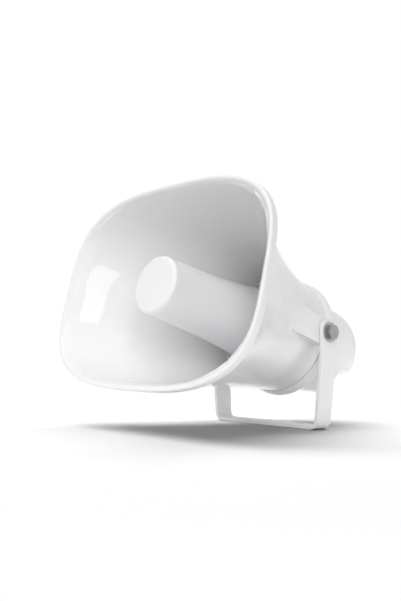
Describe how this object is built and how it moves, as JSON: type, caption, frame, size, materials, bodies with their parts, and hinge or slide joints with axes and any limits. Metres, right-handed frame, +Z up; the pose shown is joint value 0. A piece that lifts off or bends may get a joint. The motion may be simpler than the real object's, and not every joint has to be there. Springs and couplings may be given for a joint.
{
  "type": "pa horn speaker",
  "caption": "Re-entrant PA horn speaker with a rounded rectangular mouth, a centre bell, a hooded rear cover and a U bracket it tilts in.",
  "frame": {"origin": "centre of the bracket's base hole, on the underside of the bracket", "axes": "+Z up out of the base, the mouth looks towards -Y, +X along the tilt axis"},
  "size_m": [0.2854, 0.2987, 0.2356],
  "materials": {
    "bracket_paint": "satin",
    "bolt_steel": "satin",
    "washer_steel": "satin",
    "horn_shell": "satin",
    "bell_shell": "satin",
    "inner_horn": "matte",
    "cover_shell": "satin",
    "seal_rubber": "matte",
    "gasket_sheet": "matte",
    "insert_brass": "satin",
    "screw_zinc": "satin",
    "driver_casting": "satin",
    "plug_plastic": "matte",
    "dome_film": "satin",
    "coil_copper": "satin",
    "ring_plastic": "matte",
    "tag_brass": "satin",
    "plate_zinc": "satin",
    "magnet_ferrite": "matte",
    "core_laminations": "satin",
    "bobbin_plastic": "matte",
    "winding_copper": "gloss",
    "strap_zinc": "satin",
    "block_plastic": "matte",
    "lead_sleeve": "satin",
    "gland_plastic": "matte"
  },
  "bodies": {
    "bracket": {"u_bracket": "bracket_paint"},
    "horn": {"pivot_bolts": "bolt_steel", "pivot_washers": "washer_steel", "horn_flare": "horn_shell", "centre_bell": "bell_shell", "throat_horn": "inner_horn", "rear_cover": "cover_shell", "cover_seal": "seal_rubber", "throat_gasket": "gasket_sheet", "boss_inserts": "insert_brass", "driver_screws": "screw_zinc", "driver_front": "driver_casting", "phase_plug": "plug_plastic", "diaphragm": "dome_film", "voice_coil": "coil_copper", "diaphragm_ring": "ring_plastic", "driver_terminals": "tag_brass", "pole_plate": "plate_zinc", "magnet": "magnet_ferrite", "yoke": "plate_zinc", "transformer_core": "core_laminations", "transformer_bobbin": "bobbin_plastic", "transformer_winding": "winding_copper", "transformer_strap": "strap_zinc", "strap_screws": "screw_zinc", "terminal_block": "block_plastic", "terminal_screws": "tag_brass", "driver_leads": "lead_sleeve", "line_leads": "lead_sleeve", "gland_body": "gland_plastic", "gland_nut": "gland_plastic", "gland_seal": "seal_rubber"}
  },
  "joints": [
    {"name": "horn_tilt", "type": "hinge", "parent": "bracket", "child": "horn", "pos_m": [0, 0, 0.0978], "axis": [1, 0, 0], "range_deg": [-39, 44]}
  ]
}
